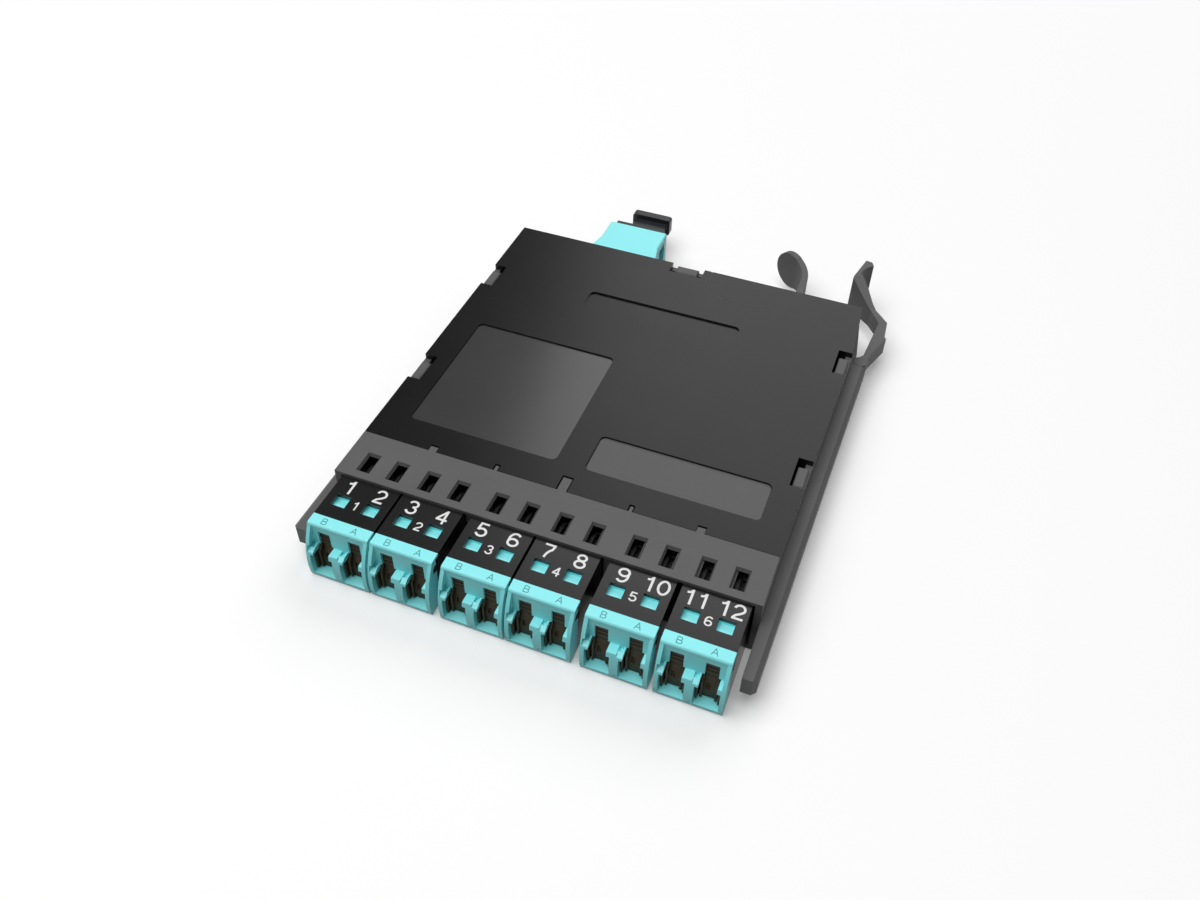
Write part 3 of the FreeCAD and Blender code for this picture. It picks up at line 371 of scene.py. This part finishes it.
# %% Print on the sleeves and on the fronts
FRONT = -43.9  # front edge of the case, y
SLEEVE_TOP = 12.55  # top of the black sleeves, z
HALF_PITCH = 3.125  # from an adapter's middle to its two ports
PRINT_SHIFT = 0.1  # the print sits a little to the right
PORT_HEIGHT, PORT_PEN, PORT_AHEAD = 3.25, 0.135, 2.2
WINDOW_HEIGHT, WINDOW_PEN, WINDOW_AHEAD = 2.0, 0.145, 5.85
LETTER_HEIGHT, LETTER_PEN, LETTER_AHEAD = 1.4, 0.105, 11.2
B_LEFT, A_RIGHT = 3.25, 2.9
boxes = [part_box("adapter_housing_%d" % n) for n in range(1, 7)]
centres = [(low[0] + high[0]) / 2 / MM for low, high in boxes]
ports = [c + side * HALF_PITCH for c in centres for side in (-1, 1)]
white_ink = moulded_plastic("white_ink", (0.80, 0.80, 0.80), grain=0.15, depth=0.004, edge=0.01, vary=0.04)
# The letters' darker aqua is painted shade: it stands for the shadow in the moulded-in strokes.
aqua_letter_shade = moulded_plastic("painted_shade_aqua_letters", (0.07, 0.30, 0.31), grain=0.15, depth=0.004, edge=0.01,
                           vary=0.03)
large = [(str(n), PORT_HEIGHT, x + PRINT_SHIFT, FRONT - PORT_AHEAD) for n, x in enumerate(ports, 1)]
small = [(str(n), WINDOW_HEIGHT, c + PRINT_SHIFT, FRONT - WINDOW_AHEAD) for n, c in enumerate(centres, 1)]
letters = [("B", LETTER_HEIGHT, c - B_LEFT, FRONT - LETTER_AHEAD) for c in centres]
letters += [("A", LETTER_HEIGHT, c + A_RIGHT, FRONT - LETTER_AHEAD) for c in centres]
show_counts(printed("port_numbers", large, PORT_PEN, white_ink, SLEEVE_TOP))
show_counts(printed("adapter_numbers", small, WINDOW_PEN, white_ink, SLEEVE_TOP))
show_counts(printed("side_letters", letters, LETTER_PEN, aqua_letter_shade, SLEEVE_TOP))

# %% [markdown]
# ## Smooth floors of the lid's pockets
# The two flat pockets differ in gloss and shade from the grained lid around
# them. The lid is one node with one finish. A mask in that finish could mark the
# pockets, but a thin plate on the floor of each has a clean edge and can be read
# more easily. The plate's outline is the pocket's, a tenth of a millimetre
# further in: four straight runs joined by quarter circles.

# %% A thin plate with rounded corners
QUARTER = math.pi / 2
INLAY_CORNER = 1.1
INLAY_BASE, INLAY_TOP = 12.91, 12.96


def rounded_inlay(name, x0, x1, y0, y1, material, arc=8):
    """Corner centres plus INLAY_CORNER times (cos t, sin t), t over a quarter turn for each corner."""
    t = np.linspace(0, QUARTER, arc) + np.arange(4)[:, None] * QUARTER
    left, right, front, rear = x0 + INLAY_CORNER, x1 - INLAY_CORNER, y0 + INLAY_CORNER, y1 - INLAY_CORNER
    middle = np.array([(right, rear), (left, rear), (left, front), (right, front)])[:, None]
    ring = (middle + INLAY_CORNER * np.stack([np.cos(t), np.sin(t)], axis=-1)).reshape(-1, 2)
    count = len(ring)
    points = np.vstack([np.column_stack([ring, np.full(count, z)]) for z in (INLAY_BASE, INLAY_TOP)])
    lower = np.arange(count)
    after = (lower + 1) % count
    sides = np.column_stack([lower, after, after + count, lower + count]).tolist()
    ends = [lower[::-1].tolist(), (lower + count).tolist()]
    return add_piece(name, points, sides + ends, material)


print("inlay thickness", round(INLAY_TOP - INLAY_BASE, 3), "mm")

# %% [markdown]
# ## Label and plate
# The larger pocket is the place for a label and is the smoother one. The smaller
# one is a plate of a lighter grey. Their fronts stand in one line.

# %% Both inlays
POCKET_START, LABEL_END, PLATE_END = 18.1, 50.1, 27.6
LABEL_LEFT, LABEL_RIGHT = -35.6, -4.1
PLATE_LEFT, PLATE_RIGHT = 2.0, 36.5
smooth_label = moulded_plastic("smooth_label", (0.046, 0.046, 0.046), gloss=0.17, grain=0.2,
                               depth=0.001, edge=0.05, vary=0.02)
plate_grey = moulded_plastic("plate_grey", (0.085, 0.085, 0.085), edge=0.05, vary=0.04)
show_counts(rounded_inlay("label_inlay", LABEL_LEFT, LABEL_RIGHT,
                          FRONT + POCKET_START, FRONT + LABEL_END, smooth_label))
show_counts(rounded_inlay("plate_inlay", PLATE_LEFT, PLATE_RIGHT,
                          FRONT + POCKET_START, FRONT + PLATE_END, plate_grey))

# %% [markdown]
# ## The faint arc
# A half circle is cut into the lid at its rear edge, and the picture barely
# shows it. The groove in the solid would look much stronger, and the CAD mesh
# stays as it is. So a ribbon along the same half circle fills the groove to just
# under the lid's surface.

# %% Half a thin ring in the groove
ARC_X, REAR = 16.6, 43.9  # the arc's centre lies on the lid's rear edge
ARC_MIDDLE, ARC_HALF_WIDTH = 10.25, 0.15
ARC_BASE, ARC_TOP = 13.17, 13.285
ARC_TRIM = 0.02  # in radians, at both ends
# The ribbon's grey, lighter than the lid, is a painted highlight for the light that the groove's edges
# catch.
arc_painted_highlight = moulded_plastic("arc_painted_highlight", (0.026, 0.026, 0.026), gloss=0.3, grain=0.3,
                             depth=0.002, edge=0.02, vary=0.03, shine=0.3)
turns = np.linspace(-math.pi + ARC_TRIM, -ARC_TRIM, 72)
arc_path = np.column_stack([ARC_X + ARC_MIDDLE * np.cos(turns), REAR + ARC_MIDDLE * np.sin(turns)])
show_counts(add_piece("arc_line", *ribbon(arc_path, ARC_HALF_WIDTH, ARC_BASE, ARC_TOP), arc_painted_highlight))

# %% [markdown]
# ## Flanges and columns of a door
# Each closed door stands forward in its port like a comb: a thin flange at each
# edge and a column beside it. Seen from the side each is a flat outline of one
# thickness, so it is an outline swept sideways. The solids show them in low
# relief only, which keeps the ports open for a plug.

# %% A side outline swept across
LEAF = -55.7  # front of the closed door's flat leaf, y
FOOT = 1.15  # foot of the door, z
flange = np.array([(0, FOOT), (1.2, FOOT), (1.95, FOOT + 0.3), (1.95, 5.35), (1.45, 5.85), (0, 5.85)])
column = np.array([(0, FOOT), (0.8, FOOT), (1.35, FOOT + 0.15), (1.35, 5.7), (0.15, 6.9), (0, 6.9)])


def strip_prism(outline, x0, x1):
    """Outline of (forward, z) points at two x: the two ends are the outline, the rest is quads."""
    count = len(outline)
    ends = [np.column_stack([np.full(count, x), LEAF - outline[:, 0], outline[:, 1]]) for x in (x0, x1)]
    first = np.arange(count)
    after = (first + 1) % count
    faces = [first.tolist(), (first + count)[::-1].tolist()]
    faces += np.column_stack([first, first + count, after + count, after]).tolist()
    return np.vstack(ends), faces


print("forward reach", flange[:, 0].max(), "mm, height", round(column[:, 1].max() - FOOT, 2), "mm")

# %% [markdown]
# ## Scooped face of a door
# Between the columns the face stands forward at its foot and curves back to the
# flat leaf above, with a small upright eye a little off its middle. It could be
# sculpted, but twelve equal ones are easier as a function of two parameters, x
# across and z up, on a grid. The first and last rows lie on the leaf, so that a
# back and two sides close the form.

# %% A height field on a grid
EYE_HEIGHT, EYE_HALF, EYE_SHIFT = 3.9, 0.4, 0.35
EYE_DEPTH, EYE_RADIUS, EYE_SOFT = 0.5, 0.34, 0.1


def scooped_face(x, half, low=3.6, high=6.6, reach=0.8, columns=21, rows=56):
    """Forward by reach below low, then by reach times (1 - sin u), u from 0 to a quarter turn.

    The eye takes EYE_DEPTH off where the distance to its upright line is under EYE_RADIUS, with a
    straight slope of EYE_SOFT at its edge.
    """
    across = np.linspace(-half, half, columns)
    up = np.linspace(FOOT, high, rows - 1)
    up = np.concatenate([up[:1], up])
    u = np.clip((up - low) / (high - low), 0, 1) * math.pi / 2
    ahead = np.repeat((reach * (1 - np.sin(u)))[:, None], columns, axis=1)
    beyond = np.maximum(np.abs(up - EYE_HEIGHT) - EYE_HALF, 0)[:, None]
    distance = np.hypot(across[None, :] + EYE_SHIFT, beyond)
    ahead -= EYE_DEPTH * np.clip((EYE_RADIUS - distance) / EYE_SOFT, 0, 1)
    ahead[0] = 0
    grid_x, grid_z = np.meshgrid(x + across, up)
    points = np.stack([grid_x, LEAF - ahead, grid_z], axis=-1).reshape(-1, 3)
    corner = (np.arange(rows - 1)[:, None] * columns + np.arange(columns - 1)).ravel()
    faces = np.column_stack([corner, corner + 1, corner + columns + 1, corner + columns]).tolist()
    foot = np.arange(columns - 1)
    top = foot + (rows - 1) * columns
    faces += np.column_stack([top, top + 1, foot + 1, foot]).tolist()
    left = np.arange(rows) * columns
    return points, faces + [left.tolist(), (left + columns - 1)[::-1].tolist()]


print("faces of one scoop", len(scooped_face(0, 1.12)[1]))

# %% [markdown]
# ## Twelve door fronts
# Flanges, columns and scoop are one moulding with the door, so they form one
# piece that swings with it. Linked copies of one mesh would each need a place of
# their own, and the export puts every object at the origin. So each door's front
# is a mesh with its place in it.

# %% Join the parts and let them ride the doors
SCOOP_HALF = 1.12
FLANGE_EDGES, COLUMN_EDGES = (1.8, 2.13), (1.1, 1.48)


def door_comb(number, x):
    """The scoop and, mirrored about x, both flanges and both columns, with their points counted on."""
    parts = [scooped_face(x, SCOOP_HALF)]
    for side in (-1, 1):
        for outline, edges in ((flange, FLANGE_EDGES), (column, COLUMN_EDGES)):
            x0, x1 = sorted(x + side * edge for edge in edges)
            parts.append(strip_prism(outline, x0, x1))
    faces, count = [], 0
    for spots, rings in parts:
        faces += [(np.array(ring) + count).tolist() for ring in rings]
        count += len(spots)
    points = np.vstack([spots for spots, rings in parts])
    return add_piece("door_comb_%02d" % number, points, faces, finishes["door_brown"],
                     "shutter_door_%02d" % number)


combs = [door_comb(n, x) for n, x in enumerate(ports, 1)]
show_counts(combs[0])
print("combs", len(combs))

# %% [markdown]
# ## White sheet
# The case lies on a white sheet that runs out of sight. A plain white floor
# would throw light up into the fronts and lose the shadow, so three jobs are
# split. Rays that carry light find a grey sheet. The camera and mirror rays find
# white paper with a little glow, which still takes the shadow. Further away
# this turns into plain white, so that low views have no dark edge.

# %% Material of the sheet
SHEET_GREY, PAPER_WHITE, PAPER_GLOW = 0.2, 0.87, 0.145
FADE_NEAR, FADE_FAR = 0.15, 0.7


def white_floor():
    """Grey for the light that it sends back, white for the camera and for mirror rays.

    The white is paper plus glow up to FADE_NEAR metres from the middle, and plain light past FADE_FAR.
    """
    material, tree, output = new_material("white_floor")
    link = tree.links.new
    grey = add_node(tree, "ShaderNodeBsdfDiffuse", color=(SHEET_GREY, SHEET_GREY, SHEET_GREY, 1))
    paper = add_node(tree, "ShaderNodeBsdfDiffuse", color=(PAPER_WHITE, PAPER_WHITE, PAPER_WHITE, 1))
    glow = add_node(tree, "ShaderNodeEmission", color=(1, 1, 1, 1), strength=PAPER_GLOW)
    path = add_node(tree, "ShaderNodeLightPath")
    either = add_node(tree, "ShaderNodeMath", operation="MAXIMUM")
    mix = add_node(tree, "ShaderNodeMixShader")
    total = add_node(tree, "ShaderNodeAddShader")
    link(path.outputs["Is Camera Ray"], either.inputs[0])
    link(path.outputs["Is Glossy Ray"], either.inputs[1])
    link(paper.outputs[0], total.inputs[0])
    link(glow.outputs[0], total.inputs[1])
    link(either.outputs[0], mix.inputs[0])
    link(grey.outputs[0], mix.inputs[1])
    place = add_node(tree, "ShaderNodeTexCoord")
    length = add_node(tree, "ShaderNodeVectorMath", operation="LENGTH")
    away = add_node(tree, "ShaderNodeMapRange", from_min=FADE_NEAR, from_max=FADE_FAR)
    plain = add_node(tree, "ShaderNodeEmission", color=(1, 1, 1, 1), strength=1.0)
    fade = add_node(tree, "ShaderNodeMixShader")
    link(place.outputs["Object"], length.inputs[0])
    link(length.outputs["Value"], away.inputs["Value"])
    link(away.outputs["Result"], fade.inputs[0])
    link(total.outputs[0], fade.inputs[1])
    link(plain.outputs[0], fade.inputs[2])
    link(fade.outputs[0], mix.inputs[2])
    link(mix.outputs[0], output.inputs["Surface"])
    return material


print("sheet fades from", FADE_NEAR, "to", FADE_FAR, "m")

# %% [markdown]
# ## Lay the sheet
# One square is enough. It lies a fifth of a millimetre below the case, so that
# the two undersides do not share a plane.

# %% A single square
SHEET_HALF, SHEET_LEVEL = 3.0, -0.0002
corners = SHEET_HALF * np.array([(-1, -1), (1, -1), (1, 1), (-1, 1)])
sheet = bpy.data.meshes.new("floor")
sheet.from_pydata(np.column_stack([corners, np.full(4, SHEET_LEVEL)]).tolist(), [], [(0, 1, 2, 3)])
sheet.materials.append(white_floor())
floor = bpy.data.objects.new("floor", sheet)
scene.collection.objects.link(floor)
print("sheet", 2 * SHEET_HALF, "m wide")

# %% [markdown]
# ## Room
# The room behind the sheet is white to the camera. One white world could do, but
# it would also light the case from all sides and wash out the lid's slow
# gradient. So for all other rays the room is dim.

# %% World: white to look at, dim as a light
ROOM_LIGHT = 0.1
world = bpy.data.worlds.new("white_room")
scene.world = world
world.use_nodes = True
room = world.node_tree
room.nodes.clear()
rays = add_node(room, "ShaderNodeLightPath")
seen = add_node(room, "ShaderNodeBackground", color=(1, 1, 1, 1), strength=1.0)
fill = add_node(room, "ShaderNodeBackground", color=(1, 1, 1, 1), strength=ROOM_LIGHT)
choose = add_node(room, "ShaderNodeMixShader")
sky = add_node(room, "ShaderNodeOutputWorld")
room.links.new(rays.outputs["Is Camera Ray"], choose.inputs[0])
room.links.new(fill.outputs[0], choose.inputs[1])
room.links.new(seen.outputs[0], choose.inputs[2])
room.links.new(choose.outputs[0], sky.inputs["Surface"])
print("room light", ROOM_LIGHT)

# %% [markdown]
# ## Lamps
# A large soft lamp above, in front and to the left, lights the case evenly. A
# second one stands behind it as a panel. The dark lid mirrors that panel, and
# the panel's left edge, blurred by the lid's gloss, gives the lid its gradient
# from dark on the left to lighter on the right. A picture of a studio as the
# world could do this too, but lamps can be moved one at a time.

# %% Two rectangular area lamps
def soft_lamp(name, place, aim, wide, high, watts):
    """Rectangular area lamp at a place in metres, facing its aim."""
    data = bpy.data.lights.new(name, "AREA")
    data.shape = "RECTANGLE"
    data.size = wide
    data.size_y = high
    data.energy = watts
    lamp = bpy.data.objects.new(name, data)
    lamp.location = place
    lamp.rotation_euler = (Vector(aim) - Vector(place)).to_track_quat("-Z", "Y").to_euler()
    scene.collection.objects.link(lamp)
    return lamp


overhead = soft_lamp("overhead", (-0.32, -0.3, 1.2), (-0.16, -0.15, 0), wide=1.2, high=1.2, watts=15.0)
panel = soft_lamp("rear_panel", (0.196, 0.937, 0.887), (0.113, -0.010, 0),
                  wide=1.273, high=0.75, watts=5.7)
print("lamps", [(lamp.name, round(lamp.data.energy, 2)) for lamp in (overhead, panel)])
